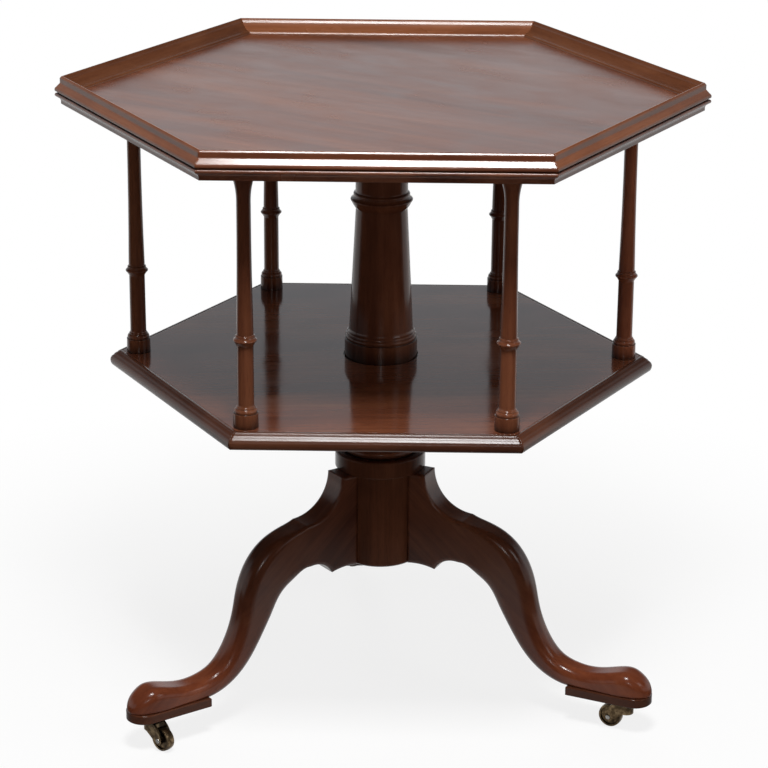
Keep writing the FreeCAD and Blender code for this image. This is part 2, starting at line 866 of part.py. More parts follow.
def column():
    """The pillar in one turned piece, from its tenon in the hub to the seat of the pivot plate."""
    bead_top = collar_top + s.base_bead_height
    waist_level = collar_top + s.stem_neck_rise
    sleeve_bottom = shelf_bottom - s.sleeve_below
    sleeve_top = shelf_top + s.sleeve_above
    groove = s.sleeve_radius - s.sleeve_groove_depth
    foot_bead_bottom = sleeve_top + s.sleeve_groove
    foot_bead_top = foot_bead_bottom + s.column_bead_height
    foot_fillet_top = foot_bead_top + s.column_fillet_height
    shaft_bottom = foot_fillet_top + s.column_cove_height
    ring_bottom = board_bottom - s.column_ring_drop
    nose_bottom = ring_bottom + s.column_under_height
    nose_top = nose_bottom + s.column_nose_height
    slope_top = nose_top + s.column_slope_height
    ring_fillet_top = slope_top + s.column_fillet_height
    ring_top = ring_fillet_top + s.column_ring_cove
    cap_bottom = column_top - s.cap_height
    band_bottom = column_top - s.cap_band
    socket = s.pivot_radius + s.glue_gap
    socket_floor = column_top - s.pivot_root - s.socket_gap
    body = turned(
        "column",
        [
            line(0, hub_bottom),
            line(s.column_tenon_radius, hub_bottom),
            line(s.column_tenon_radius, collar_top),
            line(s.base_bead_radius, collar_top),
            bow(s.base_bead_neck, bead_top, s.base_bead_swell, OUT),
            arc(s.stem_neck, waist_level, s.stem_hollow_radius, HOLLOW),
            arc(s.sleeve_radius, sleeve_bottom, s.stem_swell_radius, HOLLOW),
            line(s.sleeve_radius, sleeve_top),
            line(groove, sleeve_top),
            line(groove, foot_bead_bottom),
            bow(s.column_fillet_radius, foot_bead_top, s.column_bead_swell, OUT),
            bow(s.column_foot + s.column_fillet_shoulder, foot_fillet_top, s.column_fillet_swell, OUT),
            bow(s.column_foot, shaft_bottom, s.column_cove_hollow, HOLLOW),
            line(s.column_neck, ring_bottom),
            bow(s.column_nose_root, nose_bottom, s.column_under_swell, OUT),
            bow(s.column_nose_root, nose_top, s.column_nose_swell, OUT),
            bow(s.column_ring_fillet, slope_top, s.column_cove_hollow, HOLLOW),
            bow(s.column_throat + s.column_fillet_shoulder, ring_fillet_top, s.column_fillet_swell, OUT),
            bow(s.column_throat, ring_top, s.column_cove_hollow, HOLLOW),
            line(s.column_throat, cap_bottom),
            arc(s.cap_radius, band_bottom, s.cap_flare, HOLLOW),
            line(s.cap_radius, column_top),
            line(socket, column_top),
            line(socket, socket_floor),
            line(0, socket_floor),
        ],
    )
    drill(body, WOOD_SCREW, s.pivot_screw_circle, pivot_top, s.pivot_screw_length, 3, DOWN)


def tongue_corners(gap):
    """Plan of a leg's dovetail tongue, which runs on past the hub's face."""
    root = s.hub_radius - s.tongue_depth - gap
    mouth = s.hub_radius
    end = s.hub_radius + s.tongue_depth
    narrow = s.tongue_width / 2 + gap
    wide = narrow + s.tongue_spread / 2
    return [
        line(root, -wide),
        line(mouth, -narrow),
        line(end, -narrow),
        line(end, narrow),
        line(mouth, narrow),
        line(root, wide),
    ]


def hub_block():
    bore = s.column_tenon_radius + s.glue_gap
    body = turned(
        "hub_block",
        [
            line(bore, hub_bottom),
            line(s.hub_radius - s.hub_chamfer, hub_bottom),
            line(s.hub_radius, hub_bottom + s.hub_chamfer),
            line(s.hub_radius, leg_top),
            line(collar_radius, leg_top),
            line(collar_radius, collar_top - s.collar_round),
            arc(collar_radius - s.collar_round, collar_top, s.collar_round, OUT),
            line(bore, collar_top),
        ],
    )
    sketch = new_sketch(body, "XY_Plane", hub_bottom)
    outline(sketch, tongue_corners(s.glue_gap))
    slot = pocket(body, sketch, s.leg_head_height - s.tongue_stop + s.glue_gap, UP)
    around(body, slot, sketch, len(LEGS))
    place(body, s.leg_turn)


def polygon_prism(corners, bottom, height):
    points = [Vector(corner.x.number, corner.y.number, bottom) for corner in corners]
    face = Part.Face(Part.makePolygon(points + points[:1]))
    return face.extrude(Vector(0, 0, height))


def straight(start, end):
    return Part.LineSegment(start, end).toShape()


def tangent_arc(start, along, end):
    """The arc that leaves start in the direction along and runs to end."""
    chord = end - start
    inward = (chord - along * chord.dot(along)).normalize()
    radius = chord.dot(chord) / (2 * chord.dot(inward))
    centre = start + inward * radius
    middle = centre + ((start - centre) + (end - centre)).normalize() * radius
    return Part.Arc(start, middle, end).toShape()


def leg_head(n):
    """The leg's flat-sided root, from inside the hub's face to the neck, with eased arrises."""
    slope = math.radians(n.neck_slope)
    along = Vector(math.cos(slope), 0, -math.sin(slope))
    half = Vector(math.sin(slope), 0, math.cos(slope)) * (n.neck_depth / 2)
    neck = Vector(neck_reach.number, 0, neck_level.number)
    run = along * n.neck_run
    ear = Vector(head_reach.number, 0, leg_top.number)
    cusp = Vector(cusp_reach.number, 0, hub_bottom.number - n.cusp_drop)
    inside = n.hub_radius - n.tongue_depth
    root_high = Vector(inside, 0, leg_top.number)
    root_low = Vector(inside, 0, hub_bottom.number)
    face = Vector(math.sqrt(n.hub_radius**2 - (n.leg_thickness / 2) ** 2), 0, hub_bottom.number)
    hollow = (face + cusp) / 2 + Vector(0, 0, n.scallop_depth)
    shaped = [
        straight(root_low, face),
        Part.Arc(face, hollow, cusp).toShape(),
        tangent_arc(neck - half - run, along, cusp),
        straight(neck - half - run, neck - half),
        straight(neck - half, neck + half),
        straight(neck + half, neck + half - run),
        tangent_arc(neck + half - run, along, ear),
        straight(ear, root_high),
        straight(root_high, root_low),
    ]
    side = Part.Face(Part.Wire(shaped))
    side.translate(Vector(0, -n.leg_thickness / 2, 0))
    head = side.extrude(Vector(0, n.leg_thickness, 0))
    arrises = [edge for edge in head.Edges if is_arris(edge, n)]
    return head.makeFillet(n.arris_round, arrises)


def is_arris(edge, n):
    """True for the long edges of the head, and not for its ends or the edges across it."""
    box = edge.BoundBox
    across_neck = box.XMin > neck_reach.number - n.neck_depth / 4 and box.ZLength > n.neck_depth / 2
    lengthwise = box.YLength < n.leg_thickness / 2 and box.XLength > n.neck_run / 2
    return lengthwise and not across_neck


def section(centre, angle, girth):
    """A rounded rectangle across the leg; angle is how far the leg slopes down there."""
    half_width = girth.width / 2
    half_depth = girth.depth / 2
    limit = (min(girth.width, girth.depth) - s.least_flat.number) / 2
    top = min(girth.top_round, limit)
    low = min(girth.low_round, limit)

    def point(across, up):
        return centre + Vector(up * math.sin(angle), across, up * math.cos(angle))

    edges = []
    start = point(low - half_width, -half_depth)
    for across, up, radius in ((1, -1, low), (1, 1, top), (-1, 1, top), (-1, -1, low)):
        middle = (across * (half_width - radius), up * (half_depth - radius))
        slant = radius * math.sqrt(0.5)
        sideways = point(across * half_width, middle[1])
        level = point(middle[0], up * half_depth)
        ends = (level, sideways) if across == -up else (sideways, level)
        edges.append(straight(start, ends[0]))
        bend = point(middle[0] + across * slant, middle[1] + up * slant)
        edges.append(Part.Arc(ends[0], bend, ends[1]).toShape())
        start = ends[1]
    return Part.Wire(edges)


def curve(points):
    """A smooth curve that passes the points one after another at whole steps of its parameter."""
    spline = Part.BSplineCurve()
    spline.interpolate(Points=points, Parameters=list(range(len(points))))
    return spline


def leg_limb(n):
    """The leg from its neck to the toe: rounded sections along a curve through named places."""
    floor = sole.number
    arch_level = floor + (n.arch_depth - n.sole_trim) / 2
    toe_level = floor + (n.toe_depth - n.sole_trim) / 2
    centres = [
        Vector(neck_reach.number, 0, neck_level.number),
        Vector(knee_reach.number, 0, knee_level.number),
        Vector(ankle_reach.number, 0, ankle_level.number),
        Vector(instep_reach.number, 0, instep_level.number),
        Vector(arch_reach.number, 0, arch_level),
        Vector(toe_reach.number, 0, toe_level),
    ]
    girths = [
        Girth(n.neck_depth, n.leg_thickness, n.arris_round, n.arris_round),
        Girth(n.knee_depth, n.knee_width, n.knee_round, n.knee_round),
        Girth(n.ankle_depth, n.ankle_width, n.ankle_round, n.ankle_round),
        Girth(n.instep_depth, n.instep_width, n.instep_round, n.instep_round),
        Girth(n.arch_depth + n.sole_trim, n.arch_width, n.arch_round, n.sole_round),
        Girth(n.toe_depth + n.sole_trim, n.foot_width, n.foot_round, n.sole_round),
    ]
    spine = curve(centres)
    thickness = curve([Vector(girth.depth, girth.width, 0) for girth in girths])
    rounding = curve([Vector(girth.top_round, girth.low_round, 0) for girth in girths])
    wires = [section(centres[0], math.radians(n.neck_slope), girths[0])]
    for half_step in range(1, 2 * len(centres) - 2):
        along = spine.tangent(half_step / 2)[0]
        size = thickness.value(half_step / 2)
        edge = rounding.value(half_step / 2)
        girth = Girth(size.x, size.y, edge.x, edge.y)
        wires.append(section(spine.value(half_step / 2), math.atan2(-along.z, along.x), girth))
    for degrees in TOE_STEPS:
        shrink = math.cos(math.radians(degrees))
        reach = toe_reach.number + n.toe_length * math.sin(math.radians(degrees))
        depth = n.toe_depth * shrink + n.sole_trim
        girth = Girth(depth, n.foot_width * shrink, n.foot_round, n.sole_round * shrink)
        wires.append(section(Vector(reach, 0, floor - n.sole_trim + depth / 2), 0, girth))
    return Part.makeLoft(wires, True)


def leg_shape():
    """One leg along +X: head, limb and dovetail tongue, coped to the hub and flat under the foot."""
    n = SimpleNamespace(**{alias: size.number for alias, size in vars(s).items()})
    hub = Part.makeCylinder(n.hub_radius + n.glue_gap, collar_top.number)
    span = toe_tip.number
    below = Part.makeBox(span, span, sole.number, Vector(ankle_reach.number, -span / 2, 0))
    tongue_height = n.leg_head_height - n.tongue_stop
    tongue = polygon_prism(tongue_corners(as_size(0)), hub_bottom.number, tongue_height)
    shape = leg_head(n).fuse(leg_limb(n)).cut(hub).cut(below).fuse(tongue)
    for back in (n.pad_screw_front, n.pad_screw_back):
        foot = Vector(stem_reach.number - back, 0, n.castor_height)
        length = n.pad_screw_length + n.glue_gap
        shape = shape.cut(Part.makeCylinder(n.screw_radius + n.glue_gap, length, foot))
    return shape.removeSplitter()


def legs():
    shape = leg_shape()
    for name, turn in LEGS.items():
        leg = doc.addObject("Part::Feature", f"leg_{name}")
        leg.Label = f"leg_{name}"
        leg.Shape = shape
        place(leg, s.leg_turn + turn)


def at_stem(body, leg_angle, turn=0):
    """Put a body, made about a castor's stem, under the foot of the leg at that angle."""
    angle = s.leg_turn + leg_angle
    place(body, angle + turn, stem_reach * cosine(angle), stem_reach * sine(angle))


def foot_pad(name, angle):
    body = new_body(f"foot_pad_{name}")
    half = s.pad_width / 2
    sketch = new_sketch(body, "XY_Plane", s.castor_height)
    bend = s.pad_toe - half
    outline(
        sketch,
        [
            line(-s.pad_tail, -half),
            line(bend, -half),
            arc(s.pad_toe, 0, half, OUT),
            arc(bend, half, half, OUT),
            line(-s.pad_tail, half),
        ],
    )
    slab = pad(body, sketch, s.pad_thickness)
    doc.recompute()
    eased = body.newObject("PartDesign::Chamfer", f"{body.Name}_edges")
    eased.Base = (slab, level_edges(slab))
    eased.setExpression("Size", s.pad_edge.text)
    for back in (s.pad_screw_front, s.pad_screw_back):
        drill(body, WOOD_SCREW, -back, s.castor_height, s.pad_screw_length, 1)
    drill(body, SMALL_SCREW, s.plate_screw_circle, plate_bottom, s.plate_screw_length, 3)
    at_stem(body, angle)
    rings = [(-s.pad_screw_front, 1), (-s.pad_screw_back, 1)]
    at_stem(
        screws(f"pad_screws_{name}", WOOD_SCREW, rings, s.pad_screw_length, s.castor_height), angle
    )


def castor_plate(name, angle):
    """The fixed plate, with the pintle that the horn turns on riveted over below."""
    body = turned(
        f"castor_plate_{name}",
        [
            line(0, rivet_top - s.rivet_height),
            line(s.rivet_radius, rivet_top - s.rivet_height),
            line(s.rivet_radius, rivet_top),
            line(s.pintle_radius, rivet_top),
            line(s.pintle_radius, plate_bottom),
            line(s.plate_radius, plate_bottom),
            line(s.plate_radius, s.castor_height),
            line(0, s.castor_height),
        ],
    )
    drill(body, SMALL_SCREW, s.plate_screw_circle, plate_bottom, s.plate_screw_length, 3)
    at_stem(body, angle)
    ring_of_three = [(s.plate_screw_circle, 3)]
    at_stem(
        screws(
            f"castor_screws_{name}", SMALL_SCREW, ring_of_three, s.plate_screw_length, plate_bottom
        ),
        angle,
    )


def castor_horn(name, angle, turn):
    """The horn: a crown on the pintle, and two cheeks that curve down and back to the axle."""
    body = new_body(f"castor_horn_{name}")
    half = s.horn_width / 2
    slot_half = half - s.horn_wall
    eye_bottom = s.wheel_radius - s.eye_radius
    eye_back = s.trail + s.eye_radius
    plan = new_sketch(body, "XY_Plane", eye_bottom)
    outline(
        plan,
        [
            line(eye_back, -half),
            line(eye_back, half),
            line(0, half),
            arc(-half, 0, half, OUT),
            arc(0, -half, half, OUT),
        ],
    )
    pad(body, plan, crown_top - eye_bottom)
    side = new_sketch(body, "XZ_Plane")
    front = -s.horn_width
    skirt = crown_top - s.horn_drop
    lap_x = s.trail - s.eye_radius * cosine(s.eye_lap_angle)
    lap_z = s.wheel_radius - s.eye_radius * sine(s.eye_lap_angle)
    outline(
        side,
        [
            line(front, skirt),
            line(front, eye_bottom - s.eye_radius),
            line(s.trail, eye_bottom - s.eye_radius),
            line(s.trail, eye_bottom),
            arc(lap_x, lap_z, s.eye_radius, HOLLOW),
            line(0, skirt),
        ],
    )
    pocket_both_ways(body, side)
    back = new_sketch(body, "XZ_Plane")
    clear = eye_back + s.eye_radius
    outline(
        back,
        [
            line(s.trail, eye_bottom - s.eye_radius),
            line(clear, eye_bottom - s.eye_radius),
            line(clear, crown_top + s.eye_radius),
            line(s.horn_back, crown_top + s.eye_radius),
            line(s.horn_back, crown_top),
            arc(eye_back, s.wheel_radius, s.horn_shoulder, HOLLOW),
            arc(s.trail, eye_bottom, s.eye_radius, HOLLOW),
        ],
    )
    pocket_both_ways(body, back)
    slot = new_sketch(body, "XY_Plane", crown_bottom)
    outline(
        slot,
        [
            line(clear, slot_half),
            line(0, slot_half),
            arc(-slot_half, 0, slot_half, OUT),
            arc(0, -slot_half, slot_half, OUT),
            line(clear, -slot_half),
        ],
    )
    pocket(body, slot)
    bore = new_sketch(body, "XY_Plane", crown_top)
    circle(bore, as_size(0), as_size(0), s.pintle_radius + s.running_fit)
    pocket(body, bore)
    pin = new_sketch(body, "XZ_Plane")
    circle(pin, s.trail, s.wheel_radius, s.axle_radius + s.glue_gap)
    pocket_both_ways(body, pin)
    at_stem(body, angle, turn)


def about_axle(body, angle, turn):
    """Put a body, made about Y at the origin, on a castor's axle."""
    stem_angle = s.leg_turn + angle
    heading = stem_angle + turn
    x = stem_reach * cosine(stem_angle) + s.trail * cosine(heading)
    y = stem_reach * sine(stem_angle) + s.trail * sine(heading)
    place(body, heading, x, y)
    body.setExpression("Placement.Base.z", s.wheel_radius.text)


def castor_axle(name, angle, turn):
    seat = s.horn_width / 2
    end = seat + s.axle_head_height
    crown = s.axle_head_radius - s.axle_head_height
    body = turned(
        f"castor_axle_{name}",
        [
            line(0, -end),
            line(crown, -end),
            arc(s.axle_head_radius, -seat, s.axle_head_height, OUT),
            line(s.axle_radius, -seat),
            line(s.axle_radius, seat),
            line(s.axle_head_radius, seat),
            arc(crown, end, s.axle_head_height, OUT),
            line(0, end),
        ],
        "XY_Plane",
    )
    about_axle(body, angle, turn)


def castor_wheel(name, angle, turn):
    tread = s.tread_width / 2
    boss = s.horn_width / 2 - s.horn_wall - s.boss_gap
    bore = s.axle_radius + s.running_fit
    shoulder = s.wheel_radius - s.tread_crown
    web = tread - s.dish_depth
    inside = s.wheel_radius - s.rim_depth
    body = turned(
        f"castor_wheel_{name}",
        [
            line(bore, -boss),
            line(s.boss_radius, -boss),
            line(s.boss_radius, -web),
            line(inside, -web),
            line(inside, -tread),
            line(shoulder, -tread),
            bow(shoulder, tread, s.tread_crown, OUT),
            line(inside, tread),
            line(inside, web),
            line(s.boss_radius, web),
            line(s.boss_radius, boss),
            line(bore, boss),
        ],
        "XY_Plane",
    )
    about_axle(body, angle, turn)


def castors():
    turns = {"rear": s.castor_angle_rear, "left": s.castor_angle_left, "right": s.castor_angle_right}
    for name, angle in LEGS.items():
        foot_pad(name, angle)
        castor_plate(name, angle)
        castor_horn(name, angle, turns[name])
        castor_axle(name, angle, turns[name])
        castor_wheel(name, angle, turns[name])


def write_parts():
    """Check every object, then write each sub-part to its own file."""
    doc.recompute()
    failed = [item.Name for item in doc.Objects if {"Invalid", "Error"} & set(item.State)]
    if failed:
        raise RuntimeError(f"objects that failed: {failed}")
    pieces = [
        item
        for item in doc.Objects
        if item.TypeId == "PartDesign::Body" or item.TypeId == "Part::Feature"
    ]
    for piece in pieces:
        if piece.Shape.isNull() or not piece.Shape.isValid():
            raise RuntimeError(f"{piece.Label} has no valid shape")
    os.makedirs("parts", exist_ok=True)
    for piece in pieces:
        piece.Shape.exportStep(f"parts/{piece.Label}.step")
    print(len(pieces), "parts written")


top_board()
gallery_rails()
spindles()
shelf_board()
shelf_lippings()
bearing_block()
pivot_gear()
column()
hub_block()
legs()
castors()
write_parts()
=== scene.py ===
"""Looks of the revolving serving table: polished mahogany, aged brass and steel in soft studio light."""
import math

import bpy
from mathutils import Matrix, Vector

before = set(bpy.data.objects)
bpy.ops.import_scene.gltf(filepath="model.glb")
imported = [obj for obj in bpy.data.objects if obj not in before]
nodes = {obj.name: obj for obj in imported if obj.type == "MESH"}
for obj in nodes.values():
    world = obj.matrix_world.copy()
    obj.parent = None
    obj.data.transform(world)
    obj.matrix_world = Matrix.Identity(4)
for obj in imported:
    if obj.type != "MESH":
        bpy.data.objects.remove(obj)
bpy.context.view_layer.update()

SIDES = range(6)
SIDE_ANGLE = 60
FIRST_SIDE_GRAIN = 120
LEG_ANGLES = {"rear": 96, "left": 216, "right": 336}
BRASS_CASTOR_PIECES = ("plate", "horn", "wheel")
STEEL_LEG_PIECES = ("pad_screws", "castor_screws", "castor_axle")
STEEL_PIVOT_PIECES = (
    "pivot_plate",
    "thrust_washer",
    "retaining_washer",
    "retaining_nut",
    "block_screws",
    "pivot_screws",
)

# Ways the grain is turned, in degrees about X, Y and Z
LEVEL = (0, 0, 0)
UPRIGHT = (0, -90, 0)
TOP_GRAIN = (0, 0, -30)
SHELF_GRAIN = (0, 0, 4)
LEG_GRAIN_DIP = 40

# Dark, middle and light tones of the wood, as linear colours
WARM = ((0.07, 0.02, 0.01), (0.135, 0.042, 0.02), (0.21, 0.072, 0.033))
DEEP = ((0.045, 0.014, 0.008), (0.095, 0.031, 0.015), (0.15, 0.052, 0.025))
AMBER = ((0.09, 0.027, 0.011), (0.175, 0.058, 0.024), (0.26, 0.097, 0.042))
# Colour of grime and painted shade in hollows; the feet's lightening below is partly scuffing and partly
# painted light
GRIME_AND_SHADE_COLOUR = (0.008, 0.004, 0.003)
FOOT_SCUFF_AND_LIGHT = (1.5, 1.2, 1.05)

# Patterns in the wood: scale is the fineness along, across and through the grain
FIGURE = {"scale": (1.3, 9, 9), "detail": 3, "distortion": 0.8}
MOTTLE = {"scale": (14, 24, 24), "detail": 2, "distortion": 0.4}
STREAKS = {"scale": (4, 120, 120), "detail": 4, "roughness": 0.6, "distortion": 0.2}
PORES = {"scale": (60, 1500, 1500), "detail": 2}
FIGURE_SHARE = 0.55
MOTTLE_SHARE = 0.2
STREAKS_SHARE = 0.25
TONE_STOPS = (0.36, 0.5, 0.64)
MOTTLE_RANGE = (0.3, 0.7)
PORE_RANGE = (0.34, 0.42)
PORE_SHARE = 0.35
PORE_DEPTH = 0.0001

# Wear: rubbed corners; feet made lighter near the floor, partly by scuffing and partly as painted light;
# grime and painted shade round the turned rings
CORNER_RADIUS = 0.001
RUBBED_RANGE = (0.99, 0.9)
RUBBED_SHARE = 0.6
FOOT_SCUFF_AND_LIGHT_HEIGHTS = (0.07, 0.19)
FOOT_SCUFF_AND_LIGHT_WANDER = 0.04
RING_GRIME_AND_SHADE = {"grime_and_shade_range": (0.55, 0.97), "grime_and_shade_depth": 0.9}

# Values for each spindle and rail, from the first to the sixth; the fifth rail is at the front. Their shades
# are partly the wood's own tone and partly painted light and shade
SPINDLE_TONE_AND_LIGHT_SHADES = (2.1, 1.0, 1.0, 0.8, 0.8, 1.0)
RAIL_TONES = (AMBER, AMBER, AMBER, AMBER, WARM, AMBER)
RAIL_TONE_AND_LIGHT_SHADES = (0.7, 1.2, 0.6, 1.1, 1.1, 1.0)
RAIL_GLOSS = (0.35, 0.45, 0.35, 0.18, 0.4, 0.18)
RAIL_POLISH = ((0.16, 0.24), (0.22, 0.3), (0.16, 0.24), (0.1, 0.18), (0.1, 0.18), (0.1, 0.18))

# Metals: the patina and tarnish are pairs of a place from 0 to 1 and a linear colour
BRASS_PATINA = [(0.55, (0.02, 0.014, 0.009)), (0.78, (0.09, 0.06, 0.032)), (0.98, (0.32, 0.23, 0.13))]
BRASS_CLOUDS = {"Scale": 160.0, "Detail": 5.0, "Roughness": 0.6}
BRASS_SCRATCHES = {"scale": (900, 900, 90), "detail": 3}
BRASS_HOLLOW = 0.006
BRASS_WEAR_RANGE = (0.5, 0.95)
BRASS_ROUGHNESS = (0.55, 0.24)
CLOUDS_WEAR = 0.8
HOLLOW_WEAR = 0.4
SCRATCH_RELIEF = 0.4
STEEL_TARNISH = [(0.3, (0.16, 0.14, 0.12)), (0.6, (0.42, 0.41, 0.39))]
STEEL_CLOUDS = {"Scale": 220.0, "Detail": 4.0, "Roughness": 0.6}
STEEL_CLOUD_RANGE = (0.3, 0.7)
STEEL_ROUGHNESS = (0.5, 0.3)

# Backdrop colours by the height of a direction, from the horizon up to the dark ceiling
BACKDROP = [
    (0.0, (0.95, 0.95, 0.95)),
    (0.12, (0.86, 0.91, 0.95)),
    (0.25, (0.84, 0.89, 0.93)),
    (0.31, (0.5, 0.53, 0.56)),
    (0.37, (0.46, 0.49, 0.52)),
    (0.42, (0.05, 0.05, 0.05)),
]
FILL_COLOUR = (1.0, 0.98, 0.95, 1)
FILL_STRENGTH = 0.15

# Floor and dark cards, in metres
FLOOR_REACH = 30.0
FLOOR_WHITENS = (0.3, 1.0)
FLOOR_NEAR_WHITE = 0.82
PAPER_MATT = 0.35
PAPER_SEEN = 0.95
CARD_GREY = 0.02
CARD_FADES_BACK = (0.5, -0.1)
CARD_FADES_IN = (0.25, 0.5)
CARD_FRONT = -4.6
LOW_CARD_REACH = 4
LOW_CARD_BACK = 0.5
LOW_CARD_HEIGHT = 0.004
TALL_CARD_REACH = 5
TALL_CARD_HEIGHT = 3.2

LAMP_AIM = Vector((0, 0, 0.45))

# The camera: lens and sensor in millimetres, place in metres, angles in degrees
CAMERA_LENS = 129.6
CAMERA_SENSOR = 36.0
CAMERA_PLACE = (0.0545, -3.0535, 1.4812)
CAMERA_TURN = 0.9486
CAMERA_DIP = 19.84
CAMERA_ROLL = 0.3769


def add(tree, kind, inputs=None, **settings):
    """Add a shader node; inputs gives a socket a value, or another node's socket to be linked to."""
    node = tree.nodes.new("ShaderNode" + kind)
    for name, value in settings.items():
        setattr(node, name, value)
    for name, value in (inputs or {}).items():
        if isinstance(value, bpy.types.NodeSocket):
            tree.links.new(value, node.inputs[name])
        else:
            node.inputs[name].default_value = value
    return node


def new_finish(name):
    """An empty node material with its output, ready for a shader."""
    finish = bpy.data.materials.new(name)
    finish.use_nodes = True
    finish.node_tree.nodes.clear()
    return finish, add(finish.node_tree, "OutputMaterial")


def show(tree, shader, output):
    """Link a shader to the output."""
    tree.links.new(shader.outputs[0], output.inputs["Surface"])


def ramp(tree, factor, stops):
    """A colour ramp; stops are pairs of a place from 0 to 1 and a linear colour."""
    node = add(tree, "ValToRGB", {"Fac": factor})
    elements = node.color_ramp.elements
    while len(elements) < len(stops):
        elements.new(0.5)
    for element, (place, colour) in zip(elements, stops):
        element.position = place
        element.color = (*colour, 1)
    return node.outputs["Color"]


def grey(value):
    """A grey as red, green and blue."""
    return (value, value, value)


def shaded(tones, share):
    """The same tones made lighter or darker."""
    return [tuple(share * part for part in tone) for tone in tones]


def stretched_noise(tree, place, scale, detail, roughness=0.5, distortion=0.0):
    """Noise drawn out along the grain: scale is its fineness along, across and through the board."""
    spread = add(tree, "Mapping", {"Vector": place, "Scale": scale})
    return add(
        tree,
        "TexNoise",
        {
            "Vector": spread.outputs["Vector"],
            "Scale": 1.0,
            "Detail": detail,
            "Roughness": roughness,
            "Distortion": distortion,
        },
    ).outputs["Fac"]


def blend(tree, factor, first, second, kind="MIX"):
    """Mix two colours by a factor."""
    node = add(tree, "Mix", data_type="RGBA", blend_type=kind)
    for socket, value in (("Factor", factor), ("A", first), ("B", second)):
        entry = [item for item in node.inputs if item.name == socket and item.enabled][0]
        if isinstance(value, bpy.types.NodeSocket):
            tree.links.new(value, entry)
        else:
            entry.default_value = value if socket == "Factor" else (*value, 1)
    return [item for item in node.outputs if item.enabled][0]


def number(tree, operation, first, second=0.0, third=0.0, clamp=False):
    """A sum on up to three values."""
    terms = {0: first, 1: second, 2: third}
    return add(tree, "Math", terms, operation=operation, use_clamp=clamp).outputs["Value"]


def between(tree, value, from_low, from_high, to_low, to_high):
    """Bring a value from one range into another, held at its ends."""
    inputs = {"Value": value, "From Min": from_low, "From Max": from_high}
    inputs.update({"To Min": to_low, "To Max": to_high})
    return add(tree, "MapRange", inputs).outputs["Result"]


def mahogany(
    name,
    turn,
    tones,
    gloss=0.35,
    polish=(0.1, 0.18),
    relief=0.05,
    soften=0.001,
    grime_and_shade_reach=0.004,
    grime_and_shade_range=(0.25, 0.75),
    grime_and_shade_depth=0.6,
    foot_scuff_and_light=None,
):
    """Polished mahogany. The grain runs along local X after the pattern is turned.

    polish is the roughness where the mottle is low and where it is high.
    soften is the radius in metres over which edges and facets catch the light.
    The grime and shade range is how open a hollow is, from 0 to 1, where its grime and painted shade are
    deepest and where they end.
    The foot scuff and light is how much lighter the wood near the floor is made, for red, green and blue:
    partly rubbed wear and partly painted light.
    """
    finish, output = new_finish(name)
    tree = finish.node_tree
    dark, _, light = tones
    coords = add(tree, "TexCoord")
    place = add(
        tree,
        "Mapping",
        {
            "Vector": coords.outputs["Object"],
            "Rotation": [math.radians(angle) for angle in turn],
        },
        vector_type="TEXTURE",
    ).outputs["Vector"]
    figure = stretched_noise(tree, place, **FIGURE)
    mottle = stretched_noise(tree, place, **MOTTLE)
    streaks = stretched_noise(tree, place, **STREAKS)
    pores = stretched_noise(tree, place, **PORES)
    tone = number(tree, "MULTIPLY", figure, FIGURE_SHARE)
    tone = number(tree, "MULTIPLY_ADD", mottle, MOTTLE_SHARE, tone)
    tone = number(tree, "MULTIPLY_ADD", streaks, STREAKS_SHARE, tone)
    wood = ramp(tree, tone, list(zip(TONE_STOPS, tones)))
    pore_mask = between(tree, pores, *PORE_RANGE, 1.0, 0.0)
    wood = blend(tree, number(tree, "MULTIPLY", pore_mask, PORE_SHARE), wood, dark)
    corner = add(tree, "Bevel", {"Radius": CORNER_RADIUS}, samples=4).outputs["Normal"]
    eased = add(tree, "Bevel", {"Radius": soften}, samples=16).outputs["Normal"]
    flat = add(tree, "NewGeometry").outputs["Normal"]
    turned_away = add(tree, "VectorMath", {0: corner, 1: flat}, operation="DOT_PRODUCT").outputs["Value"]
    edges = between(tree, turned_away, *RUBBED_RANGE, 0.0, RUBBED_SHARE)
    wood = blend(tree, number(tree, "MULTIPLY", edges, mottle), wood, light)
    # Feet lighter near the floor: partly scuffing, partly painted light
    if foot_scuff_and_light:
        height = add(tree, "SeparateXYZ", {"Vector": coords.outputs["Object"]}).outputs["Z"]
        scuff_and_light_height = number(tree, "ADD", height, number(tree, "MULTIPLY", streaks, FOOT_SCUFF_AND_LIGHT_WANDER))
        wood = blend(tree, between(tree, scuff_and_light_height, *FOOT_SCUFF_AND_LIGHT_HEIGHTS, 1.0, 0.0), wood, foot_scuff_and_light, "MULTIPLY")
    # Grime and painted shade: the wood darkens in hollows that ambient occlusion finds
    hollow = add(tree, "AmbientOcclusion", {"Distance": grime_and_shade_reach}, samples=6).outputs["AO"]
    wood = blend(tree, between(tree, hollow, *grime_and_shade_range, grime_and_shade_depth, 0.0), wood, GRIME_AND_SHADE_COLOUR)
    rough = between(tree, mottle, *MOTTLE_RANGE, *polish)
    bump = add(
        tree,
        "Bump",
        {"Strength": relief, "Distance": PORE_DEPTH, "Height": pore_mask, "Normal": eased},
        invert=True,
    )
    shader = add(
        tree,
        "BsdfPrincipled",
        {
            "Base Color": wood,
            "Roughness": rough,
            "Specular IOR Level": gloss,
            "Normal": bump.outputs["Normal"],
        },
    )
    show(tree, shader, output)
    return finish


def metal_surface(tree, output, colour, rough, relief, strength, depth):
    """A metal with a little relief, given as a height, a strength and a depth in metres."""
    bump = add(tree, "Bump", {"Strength": strength, "Distance": depth, "Height": relief})
    shader = add(
        tree,
        "BsdfPrincipled",
        {"Base Color": colour, "Metallic": 1.0, "Roughness": rough, "Normal": bump.outputs["Normal"]},
    )
    show(tree, shader, output)


